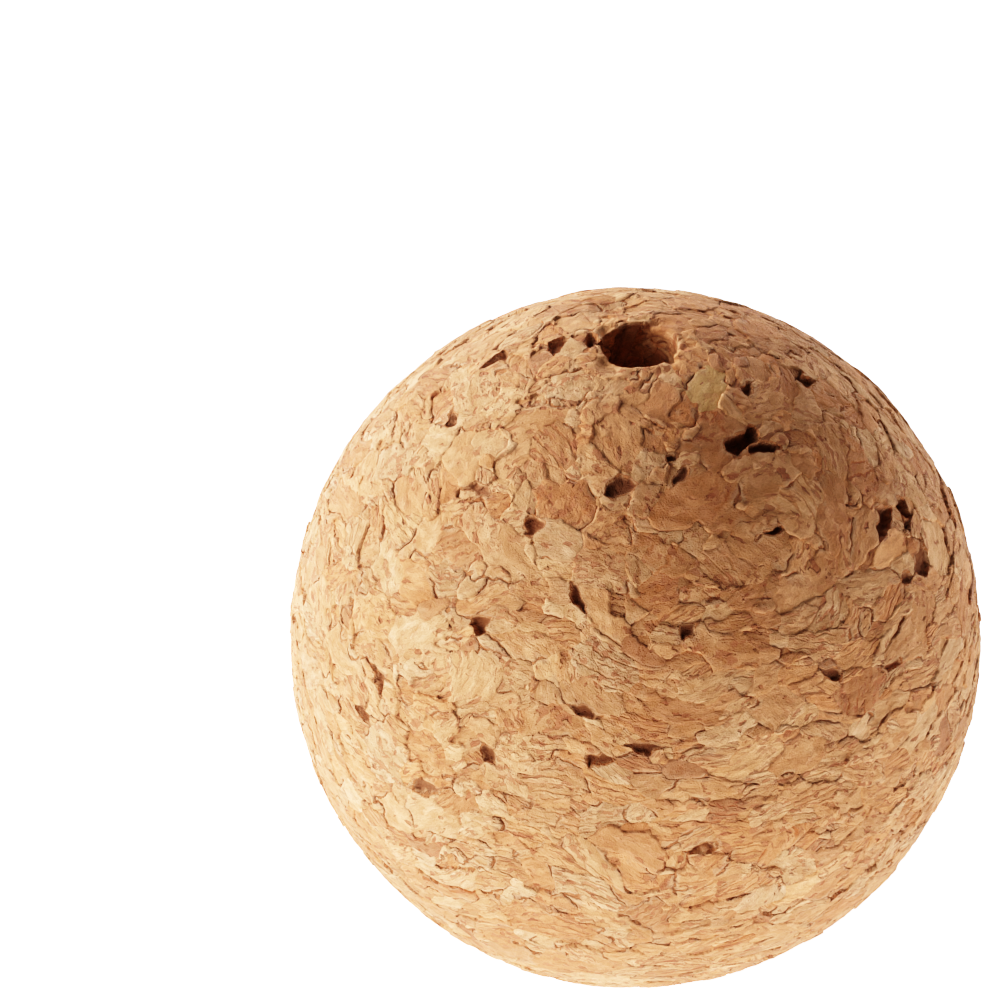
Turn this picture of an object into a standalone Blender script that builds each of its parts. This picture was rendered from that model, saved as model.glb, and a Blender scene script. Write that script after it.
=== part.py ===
"""A massage ball of agglomerated cork, with a plain bore through its poles.

Cork granules are pressed with a binder into a block, and the ball is turned and bored from
it. The largest granules that show on the skin are solids of their own, each in its pocket.
cork_body is everything between them: the small granules and the binder, pressed into one.
The bore runs along Z through the ball's centre, which is the origin. Azimuth 0 faces -Y and
grows towards +X, and elevation grows towards +Z.
"""

import math
import random

import bmesh
import bpy
from mathutils import Matrix, Vector

MM = 0.001

# The ball is a little taller along its bore than it is wide.
BALL_DIAMETER = 65.0 * MM
POLAR_STRETCH = 1.02
BORE_DIAMETER = 7.0 * MM
MOUTH_ROUND = 0.5 * MM

# The binder film between a large granule and its pocket.
BINDER_GAP = 0.3 * MM
DEPTH_SHARE = 0.8
LEAST_DEPTH = 1.6 * MM
NUGGET_ROUGHNESS = 0.10

RADIUS = BALL_DIAMETER / 2
POLE = RADIUS * POLAR_STRETCH
BORE_RADIUS = BORE_DIAMETER / 2

TURN_STEPS = 60
SKIN_SEGMENTS = 28
MOUTH_SEGMENTS = 3
BORE_SEGMENTS = 5
SCREW_MERGE = 0.00001

# Large granules on the front half, seen from -Y:
# cork kind, azimuth, elevation and turn in degrees, length and width in mm.
FRONT_GRANULES = [
    ("olive", 46, 75, 5, 3.8, 2.9),
    ("red", 14, 76, 80, 4.4, 3.4),
    ("pale", -52, 76, 20, 4.6, 3.8),
    ("pale", -80, 63, 10, 5.0, 4.0),
    ("ochre", -8, 68, 80, 5.4, 4.2),
    ("ochre", -33, 65, -20, 5.0, 3.8),
    ("red", 34, 68, 60, 4.0, 3.4),
    ("ochre", 78, 62, -15, 4.4, 2.6),
    ("ochre", -57, 55, -20, 6.0, 2.8),
    ("red", -19, 56, 5, 5.8, 4.0),
    ("red", 15, 56, 8, 7.0, 3.8),
    ("ochre", 41, 56, 20, 5.2, 3.2),
    ("pale", -75, 46, 60, 5.0, 3.6),
    ("ochre", -33, 46, -25, 7.4, 3.4),
    ("ochre", 8, 47, -5, 5.0, 2.6),
    ("red", 51, 46, 30, 4.2, 3.8),
    ("red", 69, 48, 75, 4.4, 3.0),
    ("pale", 81, 40, 40, 4.8, 3.4),
    ("pale", -56, 34, -30, 5.6, 3.6),
    ("pale", -14, 39, -15, 3.6, 1.8),
    ("ochre", 38, 39, 15, 6.8, 2.8),
    ("bark", 2, 33, -35, 3.4, 1.6),
    ("ochre", 17, 33, -28, 5.4, 2.8),
    ("ochre", 62, 24, 25, 4.4, 3.6),
    ("ochre", -79, 22, -70, 5.2, 3.0),
    ("pale", -29, 26, -18, 6.4, 2.6),
    ("ochre", -13, 21, -3, 6.6, 3.4),
    ("ochre", 24, 22, 8, 4.4, 2.6),
    ("red", 42, 19, -10, 5.8, 3.2),
    ("bark", 9, 14, -30, 3.0, 1.6),
    ("ochre", 28, 13, 5, 4.4, 3.2),
    ("pale", -43, 5, -55, 5.6, 3.8),
    ("pale", -20, 10, -8, 4.4, 2.2),
    ("bark", 15, 6, 70, 2.4, 2.0),
    ("bark", 62, 1, 60, 2.4, 2.2),
    ("pale", -63, 1, -60, 5.4, 3.6),
    ("pale", -5, -2, -15, 5.0, 2.2),
    ("red", 25, -2, 25, 4.6, 1.8),
    ("bark", -37, -8, -25, 4.0, 1.6),
    ("red", -14, -6, 30, 3.6, 1.8),
    ("pale", 21, -13, 10, 4.4, 2.6),
    ("red", -32, -17, -12, 5.4, 1.8),
]

# The back half has granules of the same kinds and sizes.
BACK_GRANULES = 14
BACK_SEED = 11
BACK_KINDS = ("ochre", "pale", "red", "ochre", "bark")
BACK_LENGTH = (4.2, 6.6)
BACK_SLIMNESS = (0.42, 0.72)
BACK_AZIMUTH = (100, 260)
BACK_ELEVATION = (-58, 66)
BACK_TURN = (-30, 30)
BACK_SPACING = 13.0 * MM

# Base colour and roughness of each kind of cork, and of the fine cork between them.
CORK_KINDS = {
    "body": ((0.56, 0.33, 0.16), 0.85),
    "pale": ((0.74, 0.52, 0.30), 0.85),
    "ochre": ((0.60, 0.36, 0.17), 0.85),
    "red": ((0.50, 0.23, 0.10), 0.85),
    "olive": ((0.58, 0.46, 0.22), 0.85),
    "bark": ((0.25, 0.12, 0.07), 0.90),
}


def clear_scene():
    for obj in list(bpy.data.objects):
        bpy.data.objects.remove(obj)


def new_collection(name):
    collection = bpy.data.collections.new(name)
    bpy.context.scene.collection.children.link(collection)
    return collection


def cork_material(kind):
    colour, roughness = CORK_KINDS[kind]
    material = bpy.data.materials.new(f"{kind}_cork")
    material.use_nodes = True
    shader = material.node_tree.nodes["Principled BSDF"]
    shader.inputs["Base Color"].default_value = (*colour, 1.0)
    shader.inputs["Roughness"].default_value = roughness
    return material


def skin_point(azimuth, elevation):
    """The point on the ball's skin in that direction, its normal, and east along the skin."""
    point = Vector((
        RADIUS * math.cos(elevation) * math.sin(azimuth),
        -RADIUS * math.cos(elevation) * math.cos(azimuth),
        POLE * math.sin(elevation),
    ))
    normal = Vector((point.x / RADIUS**2, point.y / RADIUS**2, point.z / POLE**2)).normalized()
    return point, normal, Vector((math.cos(azimuth), math.sin(azimuth), 0.0))


def turned(name, profile, closed):
    """A profile of (radius, z) points turned about Z. It runs down its outer side."""
    mesh = bpy.data.meshes.new(name)
    count = len(profile)
    edges = [(i, i + 1) for i in range(count - 1)]
    if closed:
        edges.append((count - 1, 0))
    mesh.from_pydata([(radius, 0.0, z) for radius, z in profile], edges, [])
    obj = bpy.data.objects.new(name, mesh)
    screw = obj.modifiers.new("turn", "SCREW")
    screw.angle = 2 * math.pi
    screw.steps = screw.render_steps = TURN_STEPS
    screw.use_merge_vertices = True
    screw.merge_threshold = SCREW_MERGE
    return obj


def skin_arc(start, end):
    """The skin's own outline, from one elevation to another, in radians."""
    angles = [start + (end - start) * i / SKIN_SEGMENTS for i in range(SKIN_SEGMENTS + 1)]
    return [(RADIUS * math.cos(angle), POLE * math.sin(angle)) for angle in angles]


def mouth_arc():
    """The rounded edge from the skin into the upper end of the bore, without its first point."""
    edge = BORE_RADIUS + MOUTH_ROUND
    height = POLE * math.sin(math.acos(edge / RADIUS))
    angles = [math.pi / 2 * i / MOUTH_SEGMENTS for i in range(1, MOUTH_SEGMENTS + 1)]
    return [
        (edge - MOUTH_ROUND * math.sin(angle), height - MOUTH_ROUND * (1 - math.cos(angle)))
        for angle in angles
    ]


def body_profile():
    """The closed outline of the bored ball: down the skin, round the mouth and up the bore."""
    mouth = math.acos((BORE_RADIUS + MOUTH_ROUND) / RADIUS)
    upper = mouth_arc()
    lower = [(radius, -z) for radius, z in upper]
    bore_end = upper[-1][1]
    wall = [
        (BORE_RADIUS, -bore_end + 2 * bore_end * i / BORE_SEGMENTS)
        for i in range(1, BORE_SEGMENTS)
    ]
    return skin_arc(mouth, -mouth) + lower + wall + list(reversed(upper))


def unbored_ball(collection):
    """The whole turned ball before boring. It trims the granules to the skin."""
    skin = skin_arc(math.pi / 2, -math.pi / 2)
    profile = [(0.0, POLE)] + skin[1:-1] + [(0.0, -POLE)]
    return helper(turned("unbored_ball", profile, closed=False), collection)


def helper(obj, collection):
    obj.hide_render = True
    obj.display_type = "WIRE"
    collection.objects.link(obj)
    return obj


def nugget_mesh(name, seed):
    """A rough nugget of unit radius."""
    dice = random.Random(seed)
    shape = bmesh.new()
    bmesh.ops.create_icosphere(shape, subdivisions=2, radius=1.0)
    for vertex in shape.verts:
        vertex.co *= 1.0 + dice.uniform(-NUGGET_ROUGHNESS, NUGGET_ROUGHNESS)
    mesh = bpy.data.meshes.new(name)
    shape.to_mesh(mesh)
    shape.free()
    return mesh


def granule_place(azimuth, elevation, turn):
    """Matrix with X along the granule, Y across it and Z out of the skin."""
    point, normal, east = skin_point(math.radians(azimuth), math.radians(elevation))
    north = normal.cross(east)
    angle = math.radians(turn)
    along = east * math.cos(angle) + north * math.sin(angle)
    axes = Matrix((along, normal.cross(along), normal)).transposed()
    return Matrix.Translation(point) @ axes.to_4x4()


def place_nugget(obj, place, half_sizes):
    obj.matrix_world = place @ Matrix.Diagonal((*half_sizes, 1.0))


def skin_place(azimuth, elevation):
    """The point on the skin in that direction, in degrees."""
    return skin_point(math.radians(azimuth), math.radians(elevation))[0]


def back_granules():
    """Granules spread over the back half, each clear of the ones before it."""
    dice = random.Random(BACK_SEED)
    low, high = (math.sin(math.radians(limit)) for limit in BACK_ELEVATION)
    found = []
    points = [skin_place(spec[1], spec[2]) for spec in FRONT_GRANULES]
    while len(found) < BACK_GRANULES:
        azimuth = dice.uniform(*BACK_AZIMUTH)
        elevation = math.degrees(math.asin(dice.uniform(low, high)))
        point = skin_place(azimuth, elevation)
        if any((point - other).length < BACK_SPACING for other in points):
            continue
        points.append(point)
        length = dice.uniform(*BACK_LENGTH)
        width = length * dice.uniform(*BACK_SLIMNESS)
        turn = dice.uniform(*BACK_TURN)
        kind = BACK_KINDS[len(found) % len(BACK_KINDS)]
        found.append((kind, azimuth, elevation, turn, length, width))
    return found


def add_granule(name, spec, seed, material, ball, parts, cutters):
    """One granule, trimmed to the skin, and the cutter for its pocket."""
    _, azimuth, elevation, turn, length, width = spec
    depth = max(DEPTH_SHARE * width * MM, LEAST_DEPTH)
    half_sizes = (length / 2 * MM, width / 2 * MM, depth)
    place = granule_place(azimuth, elevation, turn)
    mesh = nugget_mesh(name, seed)
    mesh.materials.append(material)
    granule = bpy.data.objects.new(name, mesh)
    parts.objects.link(granule)
    place_nugget(granule, place, half_sizes)
    trim = granule.modifiers.new("trim_to_skin", "BOOLEAN")
    trim.operation = "INTERSECT"
    trim.object = ball
    pocket = helper(bpy.data.objects.new(f"{name}_pocket", mesh), cutters)
    place_nugget(pocket, place, [half + BINDER_GAP for half in half_sizes])


def add_granules(materials, ball, parts, pockets):
    counts = {}
    for seed, spec in enumerate(FRONT_GRANULES + back_granules()):
        kind = spec[0]
        counts[kind] = counts.get(kind, 0) + 1
        name = f"{kind}_granule_{counts[kind]:02d}"
        add_granule(name, spec, seed, materials[kind], ball, parts, pockets)


def add_body(material, parts, pockets):
    body = turned("cork_body", body_profile(), closed=True)
    body.data.materials.append(material)
    parts.objects.link(body)
    cut = body.modifiers.new("granule_pockets", "BOOLEAN")
    cut.operation = "DIFFERENCE"
    cut.operand_type = "COLLECTION"
    cut.collection = pockets


def main():
    clear_scene()
    parts = new_collection("massage_ball")
    guides = new_collection("guides")
    pockets = new_collection("granule_pockets")
    materials = {kind: cork_material(kind) for kind in CORK_KINDS}
    ball = unbored_ball(guides)
    add_granules(materials, ball, parts, pockets)
    add_body(materials["body"], parts, pockets)


main()
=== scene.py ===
"""The looks of the cork massage ball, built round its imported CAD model.

The skin is one turned surface, cut into cork granules by a solid cell pattern that also runs
down the bore. The granules that are CAD nodes become pieces of their own, and the rest of the
skin is divided along granule borders into regions that stand for cork_body.
Lengths inside this script are in millimetres until a mesh is made.
"""

import itertools
import math

import bpy
import numpy as np
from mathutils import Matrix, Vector


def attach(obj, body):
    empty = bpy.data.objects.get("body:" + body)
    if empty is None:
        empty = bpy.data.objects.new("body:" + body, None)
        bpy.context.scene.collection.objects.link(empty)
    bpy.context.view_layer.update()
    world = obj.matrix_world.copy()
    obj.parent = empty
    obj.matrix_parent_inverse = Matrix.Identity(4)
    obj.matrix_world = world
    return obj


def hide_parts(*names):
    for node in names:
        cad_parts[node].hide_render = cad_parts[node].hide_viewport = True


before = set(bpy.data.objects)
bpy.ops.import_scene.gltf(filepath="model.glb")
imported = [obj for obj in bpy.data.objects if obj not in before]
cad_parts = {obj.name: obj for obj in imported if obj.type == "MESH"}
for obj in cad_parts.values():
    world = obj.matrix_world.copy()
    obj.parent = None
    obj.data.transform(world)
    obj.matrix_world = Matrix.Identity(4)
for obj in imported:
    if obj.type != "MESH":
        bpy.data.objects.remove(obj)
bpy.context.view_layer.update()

MM = 0.001
BODY = "cork_body"

# The skin's mesh.
SPACING = 0.24
MOUTH_ROUND = 0.3
POLAR_STRETCH = 1.02

# The random granules: their half lengths with how many are tried, and the share of the half
# length across and through. Each lies in a shell under the skin, or in one round the bore.
SEED = 7
SIZES = [(2.8, 450), (2.3, 1300), (1.75, 3000), (1.25, 7000), (0.85, 10000)]
ACROSS = 0.70
THROUGH = 0.42
SIZE_SPREAD = 0.18
SLIM_SPREAD = 0.15
TILT = 0.30
TOUCH = 0.66
SHELL = (-1.0, 3.2)
BORE_SHARE = 0.12
LARGEST_BARK = 1.5

# The search for the nearest granules: how far off a granule can be in the way of a new one, the
# search's cells, and how many times its size a granule reaches, with the limits of that.
NEIGHBOURHOOD = 8.0
CELL = 2.5
REACH = 3.2
REACH_LIMITS = (3.0, 7.5)

# Distances to a border are kept up to FAR_EDGE. A triangle's side is cut at a border no nearer
# to its ends than LEAST_CUT of its length.
FAR_EDGE = 2.0
LEAST_CUT = 0.12

# The skin's regions: the limits of the bands in degrees down from the equator, and the sectors
# in each band. The bore's wall, BORE_WALL thick and ending MOUTH_HEIGHT short of the poles, has
# sectors of its own.
BANDS = [-48, -8, 30]
BAND_NAMES = ["top", "upper", "lower", "under"]
SECTORS = [3, 5, 5, 3]
BORE_SECTORS = 3
BORE_WALL = 4
MOUTH_HEIGHT = 5

# How deep inside the cones that close a piece come to a point: in a granule and in a region. On
# a rim that is nowhere further than SMALL_RIM from its middle, they go SMALL_RIM_DEPTH at most.
NUGGET_DEPTH = 2.6
REGION_DEPTH = 11.0
SMALL_RIM = 9
SMALL_RIM_DEPTH = 2.2

# Heights on the skin: how much granules differ in level and in lean, and how far from its
# middle, in its own half sizes, a granule leans. SWELL is the size and height of slow waves,
# and FLAKES those of fine ridges, whose pattern LAYERS stretches along the block's layers.
LEVEL_SPREAD = 0.055
LEAN_SPREAD = 0.030
LEAN_REACH = 1.5
SWELL = (7.0, 0.07)
LAYERS = (0.7, 0.7, 1.7)
FLAKES = [(2.2, 0.035), (1.1, 0.04), (0.6, 0.04)]

# Cracks along the borders: their depth and width, shut and wide open. A border opens by luck,
# and along it by wear, which is noise of that size times the gain, plus the base.
CRACK_DEPTH = (0.01, 0.15)
CRACK_WIDTH = (0.10, 0.22)
OPEN_LUCK = (0.28, 1.10)
WEAR_SIZE = 1.1
WEAR_BASE = 0.22
WEAR_GAIN = 1.9

# Holes: how far in their walls reach and the walls' curve, how deep a crack at a hole is beside
# one elsewhere, and how open it counts as.
PIT_WALL = 0.24
PIT_WALL_CURVE = 0.7
CRACK_AT_HOLE = 0.35
OPEN_AT_HOLE = 0.4

# The worn mouth of the bore: how far the chips reach, how deep they go, how much they cover,
# and the size, shift and share of each octave of their roughness. Behind it is a shallow
# crumbled dish: azimuth, elevation, radius, depth, and how rough its outline and its depth are.
# The next two set the painted shade on the worn ground: how dark it gets, growing with how deep it is worn
# between the two depths.
CHIP_REACH = 2.2
CHIP_DEPTH = 0.7
CHIP_COVER = 0.15
CHIP_ROUGH = [(1.9, 8.8, 1.0), (0.9, 6.6, 0.7)]
DISH = (-165, 75, 3.6, 0.8, 0.9, 0.5)
CHIP_SHADE = 0.35
SHADED_DEPTHS = (0.1, 0.8)

# Bends of the whole block, then raggedness of the borders: size and height of each octave.
BENDS = [(13.0, 2.6), (5.0, 0.8)]
RAGGED = [(2.4, 0.50), (1.1, 0.32), (0.6, 0.20)]

# Linear colours of the kinds of cork, and how often each turns up among the random granules.
KINDS = {
    "pale": ((0.735, 0.415, 0.225), 0.27),
    "ochre": ((0.68, 0.345, 0.172), 0.50),
    "red": ((0.62, 0.288, 0.136), 0.20),
    "olive": ((0.69, 0.440, 0.215), 0.0),
    "bark": ((0.46, 0.215, 0.108), 0.03),
}
KIND_NAMES = list(KINDS)

# How much granules differ in shade, in warmth and in the turn of their grain.
SHADE_SPREAD = 0.07
WARMTH_SPREAD = 0.03
GRAIN_TURN = 0.35
GRAIN_SHIFT = 50
COLOUR_LIMITS = (0.02, 0.86)

# The material slot of each kind.
SLOTS = {
    "pale": "pale_cork",
    "ochre": "ochre_cork",
    "red": "red_cork",
    "olive": "olive_cork",
    "bark": "dark_bark",
}

# Places where a granule has fallen out: azimuth, elevation and turn in degrees, then length,
# width and depth. The missing granule's half length and half width are PIT_HALF of those, and
# its half thickness is its half width, or PIT_THROUGH where that is more.
PITS = [
    (66, 70, 0, 1.5, 1.2, 0.5),
    (40, 64, 20, 3.0, 1.9, 1.5),
    (46, 61, -30, 1.7, 1.2, 1.2),
    (43, 57.5, 60, 1.2, 0.9, 0.5),
    (13, 64, 0, 1.4, 1.0, 0.4),
    (14, 61, 10, 1.8, 0.8, 0.4),
    (92, 62, 0, 1.9, 1.5, 0.5),
    (75, 62, -15, 3.0, 0.7, 0.5),
    (73, 39, 70, 2.6, 1.6, 1.2),
    (65, 40, 10, 2.8, 1.4, 0.9),
    (69, 31, 0, 1.6, 1.2, 0.5),
    (60, 31, 0, 1.3, 1.1, 0.5),
    (70, 50, 0, 1.3, 1.1, 0.5),
    (11, 36, 0, 1.4, 1.1, 0.5),
    (34, 48, 0, 1.3, 1.0, 0.8),
    (-93, 76, 0, 1.9, 1.2, 0.5),
    (-95, 66, 0, 1.3, 1.1, 0.5),
    (-72, 56.5, -10, 1.9, 0.9, 0.5),
    (-47, 51.5, 0, 2.6, 0.7, 0.3),
    (-6, 59, 40, 2.5, 1.9, 0.5),
    (-24, 50.5, 0, 1.7, 0.9, 0.5),
    (-11, 40.5, -20, 1.7, 1.1, 0.5),
    (-29, 33.5, 0, 1.3, 1.1, 0.5),
    (-79, 45, 0, 1.7, 1.2, 0.5),
    (-35, 3.5, 0, 2.1, 1.2, 0.5),
    (-23, 13.5, 0, 1.5, 1.1, 0.5),
    (-8, 24, 0, 1.5, 1.1, 0.4),
    (-5, 16, 20, 1.8, 1.4, 0.5),
    (2, 18, 0, 2.0, 1.2, 0.5),
    (12, 0.5, 0, 1.6, 1.2, 0.6),
    (50, 21, 0, 1.6, 1.2, 0.5),
    (37, 24, 0, 1.3, 1.0, 0.5),
    (-95, 82.5, 0, 2.2, 1.5, 0.8),
]
PIT_HALF = 0.40
PIT_THROUGH = 0.5

# Random granules that have fallen out: those with a half length under FALLEN_SIZE, by luck. A
# larger share has gone on the back, which starts at BACK_FROM along Y. Each hole is
# FALLEN_DEPTH deep, and FALLEN_GAIN times its luck more.
FALLEN_SIZE = 1.2
FALLEN_SHARE = 0.03
BACK_FALLEN_SHARE = 0.07
BACK_FROM = 14.0
FALLEN_DEPTH = 0.4
FALLEN_GAIN = 8

body_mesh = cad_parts[BODY].data
body_points = np.array([v.co for v in body_mesh.vertices]) / MM
RADIUS = float(body_points[:, 0].max())
POLE = RADIUS * POLAR_STRETCH
BORE = float(np.hypot(body_points[:, 0], body_points[:, 1]).min())

dice = np.random.default_rng(SEED)
LATTICE = 32
lattice = dice.uniform(-1, 1, (LATTICE, LATTICE, LATTICE, 3))


def unit(vectors):
    return vectors / np.maximum(np.linalg.norm(vectors, axis=-1, keepdims=True), 1e-9)


def noise(points, size, shift=0.0):
    """Three smooth random values, -1 to 1, at each point. size is the length of one wave."""
    grid = points / size + shift
    cell = np.floor(grid).astype(int)
    part = grid - cell
    part = part * part * (3 - 2 * part)
    total = np.zeros((len(points), 3))
    for corner in itertools.product((0, 1), repeat=3):
        weight = np.prod(np.where(corner, part, 1 - part), axis=1)
        x, y, z = ((cell + corner) % LATTICE).T
        total += weight[:, None] * lattice[x, y, z]
    return total


def bent(points):
    """The block's own coordinates: it is pressed, so its layers are bent."""
    result = points.copy()
    for octave, (size, height) in enumerate(BENDS):
        result += height * noise(points, size, 5.3 * octave + 0.7)
    return result


def ragged(points, coordinates):
    result = coordinates.copy()
    for octave, (size, height) in enumerate(RAGGED):
        result += height * noise(points, size, 3.1 * octave + 11.9)
    return result


def skin_point(azimuth, elevation):
    """Point, normal and east on the skin. Azimuth 0 faces -Y, angles in degrees."""
    a, e = math.radians(azimuth), math.radians(elevation)
    east = np.array([math.cos(a), math.sin(a), 0.0])
    out = np.array([math.sin(a), -math.cos(a), 0.0])
    point = RADIUS * math.cos(e) * out + np.array([0, 0, POLE * math.sin(e)])
    normal = unit(point / np.array([RADIUS**2, RADIUS**2, POLE**2]))
    return point, normal, east


def to_skin(point):
    """The azimuth and elevation of the skin point nearest to a point, in degrees."""
    azimuth = math.degrees(math.atan2(point[0], -point[1]))
    level = math.hypot(point[0], point[1]) / RADIUS
    return azimuth, math.degrees(math.atan2(point[2] / POLE, level))


# ---------------------------------------------------------------- the turned skin


def profile():
    """The outline (radius, z), evenly spaced: down the skin, up the bore and round both mouths."""
    mouth = math.acos((BORE + MOUTH_ROUND) / RADIUS)
    skin = np.linspace(mouth, -mouth, 2000)
    outer = np.stack([RADIUS * np.cos(skin), POLE * np.sin(skin)], axis=1)
    turn = np.linspace(0, math.pi / 2, 30)[1:]
    edge, level = BORE + MOUTH_ROUND, POLE * math.sin(mouth)
    lip = np.stack([
        edge - MOUTH_ROUND * np.sin(turn),
        level - MOUTH_ROUND * (1 - np.cos(turn)),
    ], axis=1)
    under = lip * (1, -1)
    loop = np.concatenate([outer, under, lip[::-1], outer[:1]])
    run = np.concatenate([[0], np.cumsum(np.linalg.norm(np.diff(loop, axis=0), axis=1))])
    rings = int(run[-1] / (SPACING * math.sqrt(3) / 2))
    at = np.arange(rings) * run[-1] / rings
    points = np.stack([np.interp(at, run, loop[:, i]) for i in (0, 1)], axis=1)
    tangent = unit(np.roll(points, -1, axis=0) - np.roll(points, 1, axis=0))
    return points, np.stack([-tangent[:, 1], tangent[:, 0]], axis=1)


def turned_skin():
    """Points, outward normals and triangles of the outline turned about Z."""
    outline, outward = profile()
    counts = np.maximum(12, np.round(2 * math.pi * outline[:, 0] / SPACING).astype(int))
    starts = np.concatenate([[0], np.cumsum(counts)])
    phases = dice.uniform(0, 1, len(counts))
    points, normals, angles = [], [], []
    for (radius, z), (out, up), count, phase in zip(outline, outward, counts, phases):
        angle = (np.arange(count) + phase) * 2 * math.pi / count
        cos, sin = np.cos(angle), np.sin(angle)
        points.append(np.stack([radius * cos, radius * sin, np.full(count, z)], axis=1))
        normals.append(np.stack([out * cos, out * sin, np.full(count, up)], axis=1))
        angles.append(angle + math.pi / count)
    triangles = []
    for i in range(len(counts)):
        j = (i + 1) % len(counts)
        triangles.extend(stitched(starts[i], angles[i], starts[j], angles[j]))
    return np.concatenate(points), np.concatenate(normals), np.concatenate(triangles)


def stitched(start_a, middles_a, start_b, middles_b):
    """The triangles between two neighbouring rings, from the middles of their edges."""
    count_a, count_b = len(middles_a), len(middles_b)
    a, b = np.arange(count_a), np.arange(count_b)
    facing_b = np.searchsorted(middles_b, middles_a, side="left") % count_b
    facing_a = np.searchsorted(middles_a, middles_b, side="right") % count_a
    return [
        np.stack([start_a + a, start_b + facing_b, start_a + (a + 1) % count_a], axis=1),
        np.stack([start_b + b, start_b + (b + 1) % count_b, start_a + facing_a], axis=1),
    ]


# ---------------------------------------------------------------- the granules


class Granules:
    """Every granule's centre in bent space, its frame, and what it looks like."""

    def __init__(self, most):
        self.centres = np.zeros((most, 3))
        self.frames = np.zeros((most, 3, 3))
        self.sizes = np.zeros(most)
        self.kinds, self.names, self.depths = [], [], []

    def add(self, centre, axes, half_sizes, kind, name=None, depth=0.0):
        index = len(self.kinds)
        self.centres[index] = centre
        self.frames[index] = np.asarray(axes) / np.asarray(half_sizes)[:, None]
        self.sizes[index] = float(np.prod(half_sizes)) ** (1 / 3)
        self.kinds.append(kind)
        self.names.append(name)
        self.depths.append(depth)

    def room_for(self, centre, size):
        away = centre - self.centres[:len(self.kinds)]
        close = np.flatnonzero((np.abs(away) < NEIGHBOURHOOD).all(axis=1))
        turned = np.einsum("nij,nj->ni", self.frames[close], away[close])
        needed = 1 + TOUCH * size / self.sizes[close]
        return bool((np.linalg.norm(turned, axis=1) > needed).all())

    def close(self):
        """No more are added: bends the centres with the block."""
        count = len(self.kinds)
        self.centres = bent(self.centres[:count])
        self.frames, self.sizes = self.frames[:count], self.sizes[:count]
        self.kinds, self.depths = np.array(self.kinds), np.array(self.depths)


def named_granules(granules):
    """One for each granule that is a CAD node, with the node's own place and size."""
    for name in sorted(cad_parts):
        if name == BODY:
            continue
        points = np.array([v.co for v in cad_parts[name].data.vertices]) / MM
        middle = (points.min(0) + points.max(0)) / 2
        centre, normal, east = skin_point(*to_skin(middle))
        north = np.cross(normal, east)
        flat = np.stack([(points - centre) @ east, (points - centre) @ north], axis=1)
        spread = np.linalg.eigh(np.cov(flat.T))[1]
        along = spread[0, 1] * east + spread[1, 1] * north
        across = np.cross(normal, along)
        axes = [along, across, normal]
        halves = [np.ptp((points - centre) @ axis) / 2 for axis in axes[:2]]
        depth = -((points - centre) @ normal).min()
        kind = KIND_NAMES.index(name.split("_")[0])
        granules.add(centre, axes, [halves[0], halves[1], depth], kind, name=name)


def fallen_granules(granules):
    for azimuth, elevation, turn, length, width, depth in PITS:
        centre, normal, east = skin_point(azimuth, elevation)
        north = np.cross(normal, east)
        angle = math.radians(turn)
        along = math.cos(angle) * east + math.sin(angle) * north
        across = np.cross(normal, along)
        halves = [length * PIT_HALF, width * PIT_HALF, max(width * PIT_HALF, PIT_THROUGH)]
        kind = KIND_NAMES.index("ochre")
        granules.add(centre, [along, across, normal], halves, kind, depth=depth)


def random_place():
    """A point in the outer shell of the ball, or in the shell round its bore."""
    depth = dice.uniform(*SHELL)
    height = dice.uniform(-1, 1)
    angle = dice.uniform(0, 2 * math.pi)
    if dice.random() < BORE_SHARE:
        radius = BORE + depth
        return np.array([radius * math.cos(angle), radius * math.sin(angle), height * POLE])
    level = math.sqrt(1 - height**2)
    skin = np.array([RADIUS * level * math.cos(angle), RADIUS * level * math.sin(angle), POLE * height])
    return skin - depth * unit(skin)


def random_axes():
    """A granule's frame: its thin side is up, because the block was pressed along Z."""
    turn = dice.uniform(0, 2 * math.pi)
    thin = unit(np.array([*dice.normal(0, TILT, 2), 1.0]))
    along = np.array([math.cos(turn), math.sin(turn), 0.0])
    along = unit(along - thin * (along @ thin))
    return [along, np.cross(thin, along), thin]


def random_granules(granules):
    odds = np.array([KINDS[kind][1] for kind in KIND_NAMES])
    bark = KIND_NAMES.index("bark")
    for half, tries in SIZES:
        for _ in range(tries):
            centre = random_place()
            size = half * math.exp(dice.normal(0, SIZE_SPREAD))
            slim = ACROSS * math.exp(dice.normal(0, SLIM_SPREAD))
            halves = np.array([size, size * slim, size * THROUGH])
            axes = random_axes()
            kind = dice.choice(len(odds), p=odds / odds.sum())
            luck = dice.random()
            if not granules.room_for(centre, float(np.prod(halves)) ** (1 / 3)):
                continue
            if kind == bark and half > LARGEST_BARK:
                kind = KIND_NAMES.index("red")
            depth = 0.0
            share = BACK_FALLEN_SHARE if centre[1] > BACK_FROM else FALLEN_SHARE
            if half < FALLEN_SIZE and luck < share:
                depth = FALLEN_DEPTH + FALLEN_GAIN * luck
            granules.add(centre, axes, halves, kind, depth=depth)


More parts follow.
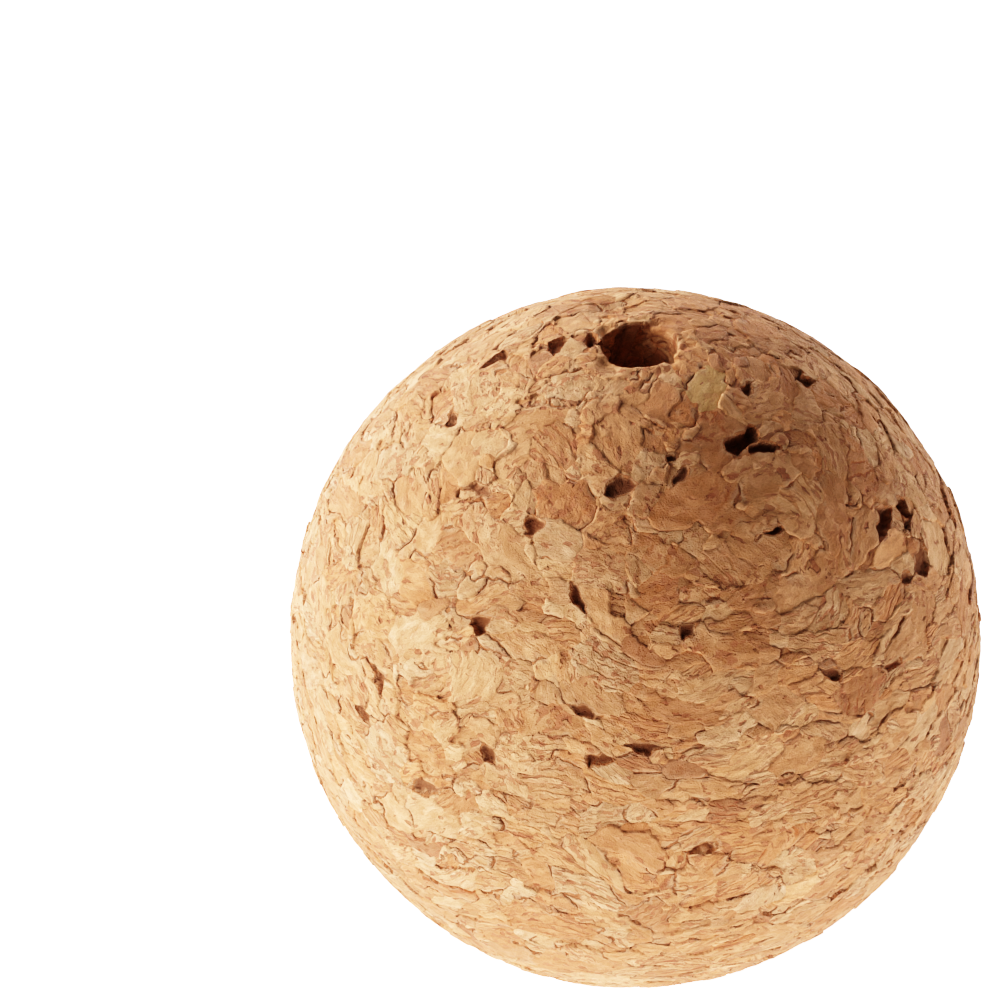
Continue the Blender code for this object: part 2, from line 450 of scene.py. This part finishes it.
def nearest_granules(coordinates, granules):
    """For each point, its nearest two granules."""
    count = len(coordinates)
    best = np.full((count, 2), -1)
    far = np.full((count, 2), 1e9)
    low = coordinates.min(0) - 1
    keys = np.floor((coordinates - low) / CELL).astype(int)
    width = keys.max(0) + 1
    flat = (keys[:, 2] * width[1] + keys[:, 1]) * width[0] + keys[:, 0]
    order = np.argsort(flat, kind="stable")
    flat = flat[order]
    for index, (centre, matrix) in enumerate(zip(granules.centres, granules.frames)):
        reach = np.clip(REACH * granules.sizes[index], *REACH_LIMITS)
        first = np.clip(np.floor((centre - reach - low) / CELL).astype(int), 0, width - 1)
        last = np.clip(np.floor((centre + reach - low) / CELL).astype(int), 0, width - 1)
        rows = np.array([
            (z * width[1] + y) * width[0]
            for z in range(first[2], last[2] + 1)
            for y in range(first[1], last[1] + 1)
        ])
        starts = np.searchsorted(flat, rows + first[0], side="left")
        ends = np.searchsorted(flat, rows + last[0], side="right")
        near = np.concatenate([order[start:end] for start, end in zip(starts, ends)])
        distance = (np.linalg.norm((coordinates[near] - centre) @ matrix.T, axis=1) - 1)
        distance *= granules.sizes[index]
        closer = distance < far[near, 1]
        near, distance = near[closer], distance[closer]
        first_now = distance < far[near, 0]
        new, old = near[first_now], near[~first_now]
        far[new, 1], best[new, 1] = far[new, 0], best[new, 0]
        far[new, 0], best[new, 0] = distance[first_now], index
        far[old, 1], best[old, 1] = distance[~first_now], index
    return best


def measured(coordinates, which, granules):
    """About how far each point is from the surface of the granule with that number, and the slope."""
    matrices, sizes = granules.frames[which], granules.sizes[which]
    away = np.einsum("nij,nj->ni", matrices, coordinates - granules.centres[which])
    reach = np.linalg.norm(away, axis=1)
    slope = np.einsum("nji,nj->ni", matrices, away) * (sizes / np.maximum(reach, 1e-6))[:, None]
    return (reach - 1) * sizes, slope


# ---------------------------------------------------------------- the skin cut along its granules


class Skin:
    """Points with their normals, block coordinates and granules, and the triangles on them."""

    def __init__(self, granules):
        points, normals, triangles = turned_skin()
        block = bent(points)
        torn = ragged(points, block)
        own, next_one = nearest_granules(torn, granules).T
        own_distance, own_slope = measured(torn, own, granules)
        next_distance, next_slope = measured(torn, next_one, granules)
        steep = np.linalg.norm(next_slope - own_slope, axis=1)
        edge = np.clip((next_distance - own_distance) / np.maximum(steep, 1e-6), 0, FAR_EDGE)
        self.points, self.normals, self.block, self.torn = points, normals, block, torn
        self.edge = edge
        self.owners = np.stack([own, next_one, own], axis=1)
        self.cut(triangles, own, granules)

    def cut(self, triangles, own, granules):
        """Splits the triangles that span a border, so that each lies in one granule."""
        label = own[triangles]
        same = (label == label[:, :1]).all(axis=1)
        odd_one = np.where(label[:, 1] == label[:, 2], 0, np.where(label[:, 0] == label[:, 2], 1, 2))
        turned = (odd_one[:, None] + np.arange(3)) % 3
        corners = np.take_along_axis(triangles, turned, axis=1)
        label = np.take_along_axis(label, turned, axis=1)
        two = ~same & (label[:, 1] == label[:, 2])
        three = ~same & ~two
        faces, owners = [triangles[same]], [own[triangles[same, 0]]]

        count = len(self.points)
        spanning = np.concatenate([
            corners[two][:, [0, 1]], corners[two][:, [0, 2]],
            corners[three][:, [0, 1]], corners[three][:, [1, 2]], corners[three][:, [2, 0]],
        ])
        spanning.sort(axis=1)
        edges, number = np.unique(spanning, axis=0, return_inverse=True)
        number = number.reshape(-1) + count
        self.add_edge_points(edges, own, granules)
        pairs, triples = two.sum(), three.sum()
        p01, p02 = number[:pairs], number[pairs:2 * pairs]
        a, b, c = corners[two].T
        faces += [np.stack(face, axis=1) for face in ((a, p01, p02), (p01, b, c), (p01, c, p02))]
        owners += [own[a], own[b], own[b]]

        q01, q12, q20 = number[2 * pairs:].reshape(3, triples)
        a, b, c = corners[three].T
        middle = np.arange(triples) + len(self.points)
        self.add_middle_points(corners[three], own)
        for corner, after, before in ((a, q01, q20), (b, q12, q01), (c, q20, q12)):
            faces += [np.stack([corner, after, middle], axis=1), np.stack([corner, middle, before], axis=1)]
            owners += [own[corner], own[corner]]
        self.triangles = np.concatenate(faces)
        self.triangle_owner = np.concatenate(owners)

    def add_edge_points(self, edges, own, granules):
        a, b = edges.T
        owner_a, owner_b = own[a], own[b]
        lead_a = measured(self.torn[a], owner_b, granules)[0] - measured(self.torn[a], owner_a, granules)[0]
        lead_b = measured(self.torn[b], owner_a, granules)[0] - measured(self.torn[b], owner_b, granules)[0]
        share = np.clip(lead_a / np.maximum(lead_a + lead_b, 1e-9), LEAST_CUT, 1 - LEAST_CUT)[:, None]
        self.extend(
            [(1 - share) * values[a] + share * values[b] for values in self.fields()],
            np.stack([owner_a, owner_b, owner_a], axis=1),
        )

    def add_middle_points(self, corners, own):
        self.extend([values[corners].mean(axis=1) for values in self.fields()], own[corners])

    def fields(self):
        return self.points, self.normals, self.block, self.torn

    def extend(self, added, owners):
        joined = [np.concatenate([old, new]) for old, new in zip(self.fields(), added)]
        self.points, self.normals, self.block, self.torn = joined
        self.edge = np.concatenate([self.edge, np.zeros(len(owners))])
        self.owners = np.concatenate([self.owners, owners])


def smooth(values, low, high):
    part = np.clip((values - low) / (high - low), 0, 1)
    return part * part * (3 - 2 * part)


def pair_luck(a, b):
    """A value from 0 to 1 that is the same for both sides of a border."""
    low, high = np.minimum(a, b), np.maximum(a, b)
    return ((low * 73856093) ^ (high * 19349663)) % 1009 / 1009


def mouth_wear(points):
    """How much has crumbled away round both mouths of the bore, and in the dish."""
    side = np.hypot(points[:, 0], points[:, 1]) - BORE
    level = POLE * math.cos(BORE / RADIUS) - np.abs(points[:, 2])
    near = smooth(1 - np.hypot(side, level) / CHIP_REACH, 0, 1)
    rough = sum(share * noise(points, size, shift)[:, 0] for size, shift, share in CHIP_ROUGH)
    chips = CHIP_DEPTH * near * np.clip(CHIP_COVER + rough, 0, 1)
    azimuth, elevation, radius, depth, rough_outline, rough_depth = DISH
    middle = skin_point(azimuth, elevation)[0]
    far = np.linalg.norm(points - middle, axis=1) + rough_outline * rough
    return chips + depth * smooth(1 - far / radius, 0, 1) * (1 + rough_depth * rough)


def shape_skin(skin, granules):
    """Moves the points to their heights, and works out how open each border is there."""
    wear = noise(skin.points, WEAR_SIZE, 4.4)[:, 0]
    luck = pair_luck(skin.owners[:, 0], skin.owners[:, 1])
    opening = smooth(luck, *OPEN_LUCK) * np.clip(WEAR_BASE + WEAR_GAIN * wear, 0, 1)
    layered = skin.block * LAYERS
    fine = SWELL[1] * noise(skin.points, SWELL[0], 2.2)[:, 0]
    for size, height in FLAKES:
        ridge = 1 - np.abs(noise(layered, size, size)[:, 0]) * 2
        fine += height * ridge
    levels, sunk = [], []
    for side in range(3):
        owner = skin.owners[:, side]
        away = np.einsum("nij,nj->ni", granules.frames[owner], skin.block - granules.centres[owner])
        leaning = (granules.leans[owner] * np.clip(away, -LEAN_REACH, LEAN_REACH)).sum(axis=1)
        levels.append(granules.offsets[owner] + leaning)
        sunk.append(granules.depths[owner])
    levels, sunk = np.stack(levels, axis=1), np.stack(sunk, axis=1)
    on_border = skin.edge <= 0
    solid_level = np.where(sunk > 0, np.inf, levels)
    lowest = np.where(np.isfinite(solid_level.min(axis=1)), solid_level.min(axis=1), 0.0)
    level = np.where(on_border, lowest, levels[:, 0])
    near_hole = (sunk > 0).any(axis=1)
    depth = CRACK_DEPTH[0] + (CRACK_DEPTH[1] - CRACK_DEPTH[0]) * opening
    width = CRACK_WIDTH[0] + (CRACK_WIDTH[1] - CRACK_WIDTH[0]) * opening
    groove = depth * np.clip(1 - skin.edge / width, 0, 1)
    groove = np.where(near_hole, groove * CRACK_AT_HOLE, groove)
    wall = np.clip(skin.edge / PIT_WALL, 0, 1) ** PIT_WALL_CURVE
    hollow = np.where(sunk[:, 0] > 0, wall, 0) * ~on_border
    chipped = mouth_wear(skin.points)
    height = level + fine - groove - chipped - hollow * sunk[:, 0]
    skin.moved = skin.points + skin.normals * height[:, None]
    skin.opening = np.where(near_hole, OPEN_AT_HOLE, opening)
    # skin.hollow marks where painted shade goes: down the pits' walls and on the worn mouth and dish, darker
    # where deeper.
    skin.hollow = np.maximum(hollow, CHIP_SHADE * smooth(chipped, *SHADED_DEPTHS))


def dress_granules(granules):
    """Each granule's own level, lean, colour and turn of its grain."""
    count = len(granules.kinds)
    granules.offsets = dice.normal(0, LEVEL_SPREAD, count)
    granules.leans = dice.normal(0, LEAN_SPREAD, (count, 3))
    colours = np.array([KINDS[kind][0] for kind in KIND_NAMES])[granules.kinds]
    shade = np.exp(dice.normal(0, SHADE_SPREAD, (count, 1)))
    warmth = np.exp(dice.normal(0, WARMTH_SPREAD, (count, 1)) * np.array([0.0, -1.0, -2.0]))
    granules.colours = np.clip(colours * shade * warmth, *COLOUR_LIMITS)
    turns = dice.normal(0, GRAIN_TURN, (count, 1, 3))
    axes = unit(granules.frames)
    granules.grains = unit(axes + np.cross(turns, axes))
    granules.shifts = dice.uniform(-GRAIN_SHIFT, GRAIN_SHIFT, (count, 3))


# ---------------------------------------------------------------- pieces


def region_of(granules):
    """The piece that each granule belongs to: its own if it is named, else a region of the skin."""
    names = list(granules.names)
    places = granules.centres
    azimuth = (np.degrees(np.arctan2(places[:, 0], -places[:, 1])) + 360) % 360
    level = np.degrees(np.arcsin(np.clip(places[:, 2] / np.linalg.norm(places, axis=1), -1, 1)))
    by_bore = np.hypot(places[:, 0], places[:, 1]) < BORE + BORE_WALL
    in_bore = by_bore & (np.abs(places[:, 2]) < POLE - MOUTH_HEIGHT)
    regions = []
    for index, name in enumerate(names):
        if name:
            regions.append(name)
        elif in_bore[index]:
            regions.append(f"bore_wall_{int(azimuth[index] // (360 / BORE_SECTORS)) + 1}")
        else:
            band = int(np.searchsorted(BANDS, -level[index]))
            sector = int(azimuth[index] * SECTORS[band] // 360) + 1
            regions.append(f"cork_{BAND_NAMES[band]}_{sector}")
    return np.array(regions)


def closed_piece(name, faces, owners, skin, granules, depth):
    """A closed mesh: some of the skin's triangles, and cones from their rims to points inside."""
    used, corners = np.unique(faces, return_inverse=True)
    corners = corners.reshape(-1, 3)
    points = skin.moved[used]
    sides = np.concatenate([corners[:, [0, 1]], corners[:, [1, 2]], corners[:, [2, 0]]])
    keys = sides[:, 0] * len(used) + sides[:, 1]
    mirror = sides[:, 1] * len(used) + sides[:, 0]
    rim = sides[~np.isin(keys, mirror)]
    loops = rim_groups(rim, len(used))
    cones, tips = [], []
    for loop in loops:
        start = points[rim[loop, 0]]
        middle = start.mean(axis=0)
        span = np.linalg.norm(start - middle, axis=1).max()
        inward = -unit(skin.normals[used[rim[loop, 0]]].mean(axis=0))
        tip = len(points) + len(tips)
        tips.append(middle + inward * (depth if span > SMALL_RIM else min(depth, SMALL_RIM_DEPTH)))
        cones.append(np.stack([rim[loop, 1], rim[loop, 0], np.full(len(loop), tip)], axis=1))
    all_faces = np.concatenate([corners, *cones])
    all_owners = np.concatenate([owners, np.full(len(all_faces) - len(corners), -1)])
    mesh = bpy.data.meshes.new(name)
    fill_mesh(mesh, np.concatenate([points, np.array(tips)]) * MM, all_faces)
    mark_borders(mesh, all_owners)
    spare = np.zeros(len(tips))
    # The hollow attribute carries the painted shade mask to the material.
    for label, values in (("edge", skin.edge), ("opening", skin.opening), ("hollow", skin.hollow)):
        layer = mesh.attributes.new(label, "FLOAT", "POINT")
        layer.data.foreach_set("value", np.concatenate([values[used], spare]).astype(np.float32))
    block = np.concatenate([skin.block[used], np.zeros((len(tips), 3))])
    owner = np.maximum(all_owners, 0).repeat(3)
    away = block[all_faces.reshape(-1)] - granules.centres[owner]
    grain = np.einsum("nij,nj->ni", granules.grains[owner], away) + granules.shifts[owner]
    layer = mesh.attributes.new("grain", "FLOAT_VECTOR", "CORNER")
    layer.data.foreach_set("vector", grain.astype(np.float32).reshape(-1))
    layer = mesh.attributes.new("granule_colour", "FLOAT_COLOR", "CORNER")
    colour = np.concatenate([granules.colours[owner], np.ones((len(owner), 1))], axis=1)
    layer.data.foreach_set("color", colour.astype(np.float32).reshape(-1))
    piece = bpy.data.objects.new(name, mesh)
    bpy.context.scene.collection.objects.link(piece)
    return piece


def rim_groups(rim, count):
    """The rim's edges, grouped into loops that share points."""
    group = np.arange(count)
    while True:
        lowest = np.minimum(group[rim[:, 0]], group[rim[:, 1]])
        before = group.copy()
        np.minimum.at(group, rim[:, 0], lowest)
        np.minimum.at(group, rim[:, 1], lowest)
        group = group[group]
        if (group == before).all():
            break
    label = group[rim[:, 0]]
    return [np.flatnonzero(label == value) for value in np.unique(label)]


def fill_mesh(mesh, points, faces):
    mesh.vertices.add(len(points))
    mesh.vertices.foreach_set("co", points.astype(np.float32).reshape(-1))
    mesh.loops.add(faces.size)
    mesh.loops.foreach_set("vertex_index", faces.astype(np.int32).reshape(-1))
    mesh.polygons.add(len(faces))
    mesh.polygons.foreach_set("loop_start", np.arange(0, faces.size, 3, dtype=np.int32))
    mesh.update(calc_edges=True)
    mesh.shade_smooth()


def mark_borders(mesh, owners):
    """Edges between two granules are creases."""
    edge_of = np.zeros(len(mesh.loops), np.int32)
    mesh.loops.foreach_get("edge_index", edge_of)
    owner = owners.repeat(3)
    one_side = np.zeros(len(mesh.edges), int)
    one_side[edge_of] = owner
    sharp = np.zeros(len(mesh.edges), bool)
    sharp[edge_of[owner != one_side[edge_of]]] = True
    mesh.attributes.new("sharp_edge", "BOOLEAN", "EDGE").data.foreach_set("value", sharp)


def add_pieces(skin, granules, materials):
    regions = region_of(granules)[skin.triangle_owner]
    for region in np.unique(regions):
        chosen = regions == region
        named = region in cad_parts
        node = str(region) if named else BODY
        name = f"{region}_nugget" if named else str(region)
        depth = NUGGET_DEPTH if named else REGION_DEPTH
        piece = closed_piece(
            name, skin.triangles[chosen], skin.triangle_owner[chosen], skin, granules, depth
        )
        slot = SLOTS[node.split("_")[0]] if named else BODY
        piece.data.materials.append(materials[slot])
        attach(piece, "root")
        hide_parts(node)


# ---------------------------------------------------------------- materials


class Graph:
    """A short way to write a material's nodes."""

    def __init__(self, name):
        self.material = bpy.data.materials.new(name)
        self.material.use_nodes = True
        self.tree = self.material.node_tree
        self.shader = self.tree.nodes["Principled BSDF"]

    def node(self, kind, settings=(), **inputs):
        node = self.tree.nodes.new(kind)
        for key, value in dict(settings).items():
            setattr(node, key, value)
        for key, value in inputs.items():
            self.feed(node.inputs[int(key[1:])] if key[0] == "i" and key[1:].isdigit()
                      else node.inputs[key.replace("_", " ")], value)
        return node

    def feed(self, socket, value):
        if isinstance(value, bpy.types.NodeSocket):
            self.tree.links.new(value, socket)
        else:
            socket.default_value = value

    def math(self, operation, a, b=0.0, clamp=False):
        settings = {"operation": operation, "use_clamp": clamp}
        return self.node("ShaderNodeMath", settings, i0=a, i1=b).outputs[0]

    def ramp(self, value, low, high, start=0.0, end=1.0):
        """start below low, end above high, and smooth between them."""
        node = self.node("ShaderNodeMapRange", {"interpolation_type": "SMOOTHSTEP"}, Value=value)
        for key, number in (("From Min", low), ("From Max", high), ("To Min", start), ("To Max", end)):
            self.feed(node.inputs[key], number)
        return node.outputs[0]

    def mix(self, share, a, b, blend="MIX"):
        settings = {"data_type": "RGBA", "blend_type": blend}
        node = self.node("ShaderNodeMix", settings)
        for socket, value in ((node.inputs[0], share), (node.inputs[6], a), (node.inputs[7], b)):
            self.feed(socket, value)
        return node.outputs[2]

    def attribute(self, name, output="Fac"):
        return self.node("ShaderNodeAttribute", {"attribute_name": name}).outputs[output]

    def stretched(self, vector, scale):
        settings = {"operation": "MULTIPLY"}
        return self.node("ShaderNodeVectorMath", settings, i0=vector, i1=scale).outputs[0]

    def add_vectors(self, a, b):
        return self.node("ShaderNodeVectorMath", {"operation": "ADD"}, i0=a, i1=b).outputs[0]

    def noise(self, vector, scale, detail=3.0, roughness=0.55):
        node = self.node("ShaderNodeTexNoise", {}, Vector=vector, Scale=scale, Detail=detail,
                         Roughness=roughness)
        return node.outputs[0]

    def flakes(self, vector):
        """One random value for each small flake, and how far it is to the flake's edge."""
        cells = self.node("ShaderNodeTexVoronoi", {}, Vector=vector, Scale=1.0)
        edges = self.node("ShaderNodeTexVoronoi", {"feature": "DISTANCE_TO_EDGE"}, Vector=vector, Scale=1.0)
        value = self.node("ShaderNodeSeparateColor", {}, Color=cells.outputs["Color"]).outputs[0]
        return value, edges.outputs["Distance"]

    def layer_lines(self, vector, spacing):
        """Thin lines where the surface cuts the granule's growth layers."""
        through = self.node("ShaderNodeSeparateXYZ", {}, Vector=vector).outputs[2]
        phase = self.math("FRACT", self.math("DIVIDE", through, spacing))
        return self.ramp(self.math("ABSOLUTE", self.math("SUBTRACT", phase, 0.5)), 0.30, 0.48)

    def shaded(self, colour, share, dark, light):
        """The colour, darkened where share is 0 and lightened where it is 1."""
        return self.mix(1.0, colour, self.mix(share, (*dark, 1), (*light, 1)), "MULTIPLY")

    def total(self, terms):
        result = 0.0
        for value, weight in terms:
            result = self.math("ADD", result, self.math("MULTIPLY", value, weight))
        return result


# Linear colours of what lies on and between the granules, and of the painted shade and painted highlights
# there.
CRACK_COLOUR = (0.46, 0.17, 0.065, 1)
# Painted shade: the dark brown laid into pits and worn ground, deeper in, where shade falls.
HOLLOW_SHADE_COLOUR = (0.25, 0.090, 0.038, 1)
# Painted shade: the darkening laid in a band beside open cracks.
CRACK_SHADE_COLOUR = (0.50, 0.215, 0.095, 1)
DASH_COLOUR = (0.44, 0.155, 0.068, 1)
SPOT_COLOUR = (0.36, 0.108, 0.045, 1)
# Painted highlight: the pale colour laid on the lips of open cracks, where lit torn edges show.
LIP_HIGHLIGHT_COLOUR = (0.84, 0.590, 0.370, 1)
LINE_TINT = (0.70, 0.50, 0.36, 1)
BUMP_HEIGHT = 0.19 * MM


def cork_material(name, stripes):
    """Cork: layers and flakes in each granule, reddish dashes and dark cracks, with painted shade beside open
    cracks and in hollows, and painted highlights on the torn lips of open cracks.
    """
    g = Graph(name)
    grain = g.attribute("grain", "Vector")
    colour = g.attribute("granule_colour", "Color")
    edge, opening, hollow = (g.attribute(label) for label in ("edge", "opening", "hollow"))

    sway = g.node("ShaderNodeTexNoise", {}, Vector=grain, Scale=0.9, Detail=4.0)
    waved = g.add_vectors(grain, g.stretched(sway.outputs[1], (1.2, 1.2, 0.7)))
    mottle = g.noise(grain, 0.8, 4)
    streak = g.noise(g.stretched(waved, (0.5, 0.5, 1.8)), 1.0, 4, 0.6)
    flakes, flake_edge = g.flakes(g.stretched(waved, (0.62, 0.62, 1.9)))
    crumbs = g.flakes(g.stretched(waved, (1.25, 1.25, 3.2)))[0]
    fibre = g.noise(g.stretched(waved, (1.1, 1.1, 4.2)), 1.0, 3, 0.6)
    patch = g.noise(grain, 0.9, 2)
    grit = g.noise(grain, 7.0, 3, 0.7)
    layer = g.layer_lines(waved, 0.62)

    nature = g.noise(grain, 0.05, 0)
    striped = g.ramp(nature, 0.50, 0.58, 0.4, 2.2)
    busy = g.ramp(nature, 0.38, 0.50, 0.4, 1.0)
    line = g.math("MULTIPLY", g.math("MULTIPLY", layer, g.ramp(streak, 0.40, 0.55)), striped)
    seam = g.math("MULTIPLY", g.ramp(flake_edge, 0.02, 0.10, 1.0, 0.0), g.ramp(patch, 0.50, 0.60, 0.0, 0.5))
    speck = g.math("MULTIPLY", g.ramp(crumbs, 0.80, 0.83), g.ramp(fibre, 0.42, 0.50))
    chip = g.math("MULTIPLY", g.ramp(flakes, 0.93, 0.95), 0.35)
    dash = g.math("MULTIPLY", g.ramp(fibre, 0.60, 0.68), g.ramp(mottle, 0.44, 0.58))
    dash = g.math("MAXIMUM", g.math("MAXIMUM", dash, chip), g.math("MAXIMUM", seam, speck))
    dash = g.math("MULTIPLY", dash, busy)
    spots = g.flakes(g.stretched(waved, (1.2, 1.2, 2.7)))[0]
    spot = g.math("MULTIPLY", g.ramp(spots, 0.91, 0.93), g.ramp(patch, 0.48, 0.56))

    gap = g.math("MULTIPLY_ADD", opening, 0.10)
    g.feed(gap.node.inputs[2], 0.03)
    torn = g.math("MULTIPLY", g.math("SUBTRACT", fibre, 0.5), 0.6)
    rough_edge = g.math("ADD", edge, torn)
    crack = g.ramp(g.math("DIVIDE", rough_edge, gap), 0.35, 1.1, 1.0, 0.0)
    crack = g.math("MULTIPLY", crack, g.ramp(opening, 0.05, 0.5, 0.0, 1.0))
    # Painted shade in a band beside each open crack.
    crack_shade = g.math("MULTIPLY", g.ramp(rough_edge, 0.05, 0.55, 1.0, 0.0), g.math("MULTIPLY", opening, 0.5))
    # Painted highlight along the lips of open cracks, on every side whatever the light.
    lip_highlight = g.math("MULTIPLY", g.ramp(rough_edge, 0.5, 0.12), g.math("MULTIPLY", opening, 0.45))

    tone = g.shaded(colour, g.ramp(mottle, 0.3, 0.7), (0.90, 0.86, 0.80), (1.07, 1.07, 1.08))
    tone = g.shaded(tone, g.ramp(streak, 0.33, 0.67), (0.92, 0.86, 0.80), (1.05, 1.06, 1.08))
    tone = g.shaded(tone, flakes, (0.87, 0.81, 0.74), (1.10, 1.11, 1.13))
    tone = g.shaded(tone, crumbs, (0.93, 0.90, 0.86), (1.05, 1.06, 1.08))
    tone = g.shaded(tone, g.ramp(grit, 0.35, 0.65), (0.90, 0.86, 0.80), (1.06, 1.07, 1.08))
    lined = g.mix(1.0, tone, LINE_TINT, "MULTIPLY")
    tone = g.mix(g.math("MULTIPLY", line, stripes, True), tone, lined)
    tone = g.mix(g.math("MULTIPLY", dash, 0.85), tone, DASH_COLOUR)
    tone = g.mix(g.math("MULTIPLY", spot, 0.75), tone, SPOT_COLOUR)
    # The painted highlight on the crack lips.
    tone = g.mix(lip_highlight, tone, LIP_HIGHLIGHT_COLOUR)
    # The painted shade beside open cracks.
    tone = g.mix(crack_shade, tone, CRACK_SHADE_COLOUR)
    # Painted shade in the hollows: pits and the worn mouth.
    tone = g.mix(g.ramp(hollow, 0.15, 0.9, 0.0, 0.85), tone, HOLLOW_SHADE_COLOUR)
    tone = g.mix(crack, tone, CRACK_COLOUR)
    g.feed(g.shader.inputs["Base Color"], tone)

    height = g.total([
        (streak, 0.35), (flakes, 1.2), (crumbs, 0.50), (grit, 0.9), (line, -0.25), (dash, -0.8), (spot, -1.2),
        (crack, -1.4),
    ])
    bump = g.node("ShaderNodeBump", {}, Height=height, Strength=1.0, Distance=BUMP_HEIGHT)
    g.feed(g.shader.inputs["Normal"], bump.outputs[0])
    g.feed(g.shader.inputs["Roughness"], g.ramp(grit, 0.3, 0.7, 0.74, 0.93))
    g.shader.inputs["Specular IOR Level"].default_value = 0.28
    return g.material


# How strongly the growth lines show in each material.
STRIPES = {
    BODY: 0.30,
    "pale_cork": 0.25,
    "ochre_cork": 0.35,
    "red_cork": 0.70,
    "olive_cork": 0.35,
    "dark_bark": 0.6,
}


# ---------------------------------------------------------------- the setting


def plain_material(name, colour, roughness):
    g = Graph(name)
    g.shader.inputs["Base Color"].default_value = (*colour, 1)
    g.shader.inputs["Roughness"].default_value = roughness
    return g.material


def add_floor(level):
    size = 3.0
    corners = [(-size, -size, level), (size, -size, level), (size, size, level), (-size, size, level)]
    mesh = bpy.data.meshes.new("floor")
    mesh.from_pydata(corners, [], [(0, 1, 2, 3)])
    white = plain_material("floor", (0.9, 0.9, 0.9), 0.8)
    shader = white.node_tree.nodes["Principled BSDF"]
    shader.inputs["Emission Color"].default_value = (1, 1, 1, 1)
    shader.inputs["Emission Strength"].default_value = FLOOR_GLOW
    mesh.materials.append(white)
    floor = bpy.data.objects.new("floor", mesh)
    bpy.context.scene.collection.objects.link(floor)


# The camera: its elevation, how many radii away it is, its lens, and where the ball falls.
CAMERA_ELEVATION = 36.0
CAMERA_RADII = 15.0
LENS = 185.5
SENSOR = 36.0
BALL_IN_FRAME = (0.137, -0.135)


def add_camera():
    elevation = math.radians(CAMERA_ELEVATION)
    back = Vector((0, -math.cos(elevation), math.sin(elevation)))
    up = Vector((0, math.sin(elevation), math.cos(elevation)))
    distance = CAMERA_RADII * RADIUS * MM
    across = distance * SENSOR / LENS
    target = -BALL_IN_FRAME[0] * across * Vector((1, 0, 0)) - BALL_IN_FRAME[1] * across * up
    camera = bpy.data.objects.new("camera", bpy.data.cameras.new("camera"))
    camera.data.lens = LENS
    camera.data.sensor_width = SENSOR
    camera.location = back * distance
    camera.rotation_euler = (target - camera.location).to_track_quat("-Z", "Y").to_euler()
    bpy.context.scene.collection.objects.link(camera)
    bpy.context.scene.camera = camera


def add_light(name, place, size, power):
    light = bpy.data.lights.new(name, "AREA")
    light.shape = "DISK"
    light.size = size
    light.energy = power
    lamp = bpy.data.objects.new(name, light)
    lamp.location = place
    lamp.rotation_euler = (-Vector(place)).to_track_quat("-Z", "Y").to_euler()
    bpy.context.scene.collection.objects.link(lamp)


def add_tent():
    """A light tent: bright on the left and behind, dim at the back right, and dark elsewhere."""
    world = bpy.data.worlds.new("light_tent")
    world.use_nodes = True
    tree = world.node_tree
    tree.nodes["Background"].inputs[0].default_value = (1, 1, 1, 1)
    where = tree.nodes.new("ShaderNodeTexCoord")
    strength = None
    for direction, limit, brightness in TENT:
        side = tree.nodes.new("ShaderNodeVectorMath")
        side.operation = "DOT_PRODUCT"
        side.inputs[1].default_value = Vector(direction).normalized()
        tree.links.new(where.outputs["Generated"], side.inputs[0])
        lifted = tree.nodes.new("ShaderNodeMapRange")
        lifted.interpolation_type = "SMOOTHSTEP"
        lifted.inputs["From Min"].default_value = limit
        lifted.inputs["To Max"].default_value = brightness
        tree.links.new(side.outputs["Value"], lifted.inputs["Value"])
        if strength is None:
            strength = lifted.outputs[0]
            continue
        both = tree.nodes.new("ShaderNodeMath")
        tree.links.new(strength, both.inputs[0])
        tree.links.new(lifted.outputs[0], both.inputs[1])
        strength = both.outputs[0]
    base = tree.nodes.new("ShaderNodeMath")
    base.inputs[1].default_value = TENT_BASE
    tree.links.new(strength, base.inputs[0])
    tree.links.new(base.outputs[0], tree.nodes["Background"].inputs[1])
    bpy.context.scene.world = world


# The tent's walls: direction, the cosine of the angle at which it fades out, and brightness.
TENT = [
    ((-0.7, 0.7, 0.0), 0.45, 2.2),
    ((-1.0, 0.0, 0.0), 0.45, 4.0),
    ((0.0, 1.0, 0.0), 0.45, 2.3),
    ((0.7, 0.7, 0.0), 0.45, 0.5),
]
TENT_BASE = 0.02
FLOOR_GLOW = 2.2

# The camera's tone curve, deep in the shades and soft in the whites. It shows a light x as
# x^power / (x^power + middle^power), scaled so that TONE_WHITE is shown as full white.
TONE_MIDDLE = 0.5
TONE_POWER = 1.5
TONE_WHITE = 2.4
TONE_STEPS = 10


def shown(light):
    reach = 1 + (TONE_MIDDLE / TONE_WHITE) ** TONE_POWER
    return reach * light ** TONE_POWER / (light ** TONE_POWER + TONE_MIDDLE ** TONE_POWER)


def add_setting(level):
    add_camera()
    add_floor(level)
    add_tent()
    add_light("left_softbox", (-0.80, 0.15, 0.20), 0.5, 6.0)
    set_tones(bpy.context.scene.view_settings)


def set_tones(settings):
    settings.view_transform = "Standard"
    settings.use_curve_mapping = True
    mapping = settings.curve_mapping
    mapping.white_level = (TONE_WHITE, TONE_WHITE, TONE_WHITE)
    points = mapping.curves[3].points
    points[-1].location = (1, 1)
    for step in range(1, TONE_STEPS):
        share = (step / TONE_STEPS) ** 2
        points.new(share, shown(share * TONE_WHITE))
    mapping.update()


def main():
    granules = Granules(sum(tries for _, tries in SIZES) + 200)
    named_granules(granules)
    fallen_granules(granules)
    random_granules(granules)
    granules.close()
    dress_granules(granules)
    skin = Skin(granules)
    shape_skin(skin, granules)
    materials = {slot: cork_material(slot, stripes) for slot, stripes in STRIPES.items()}
    add_pieces(skin, granules, materials)
    add_setting(float(skin.moved[:, 2].min()) * MM)
    print("granules", len(granules.kinds), "points", len(skin.points), "triangles", len(skin.triangles))


main()
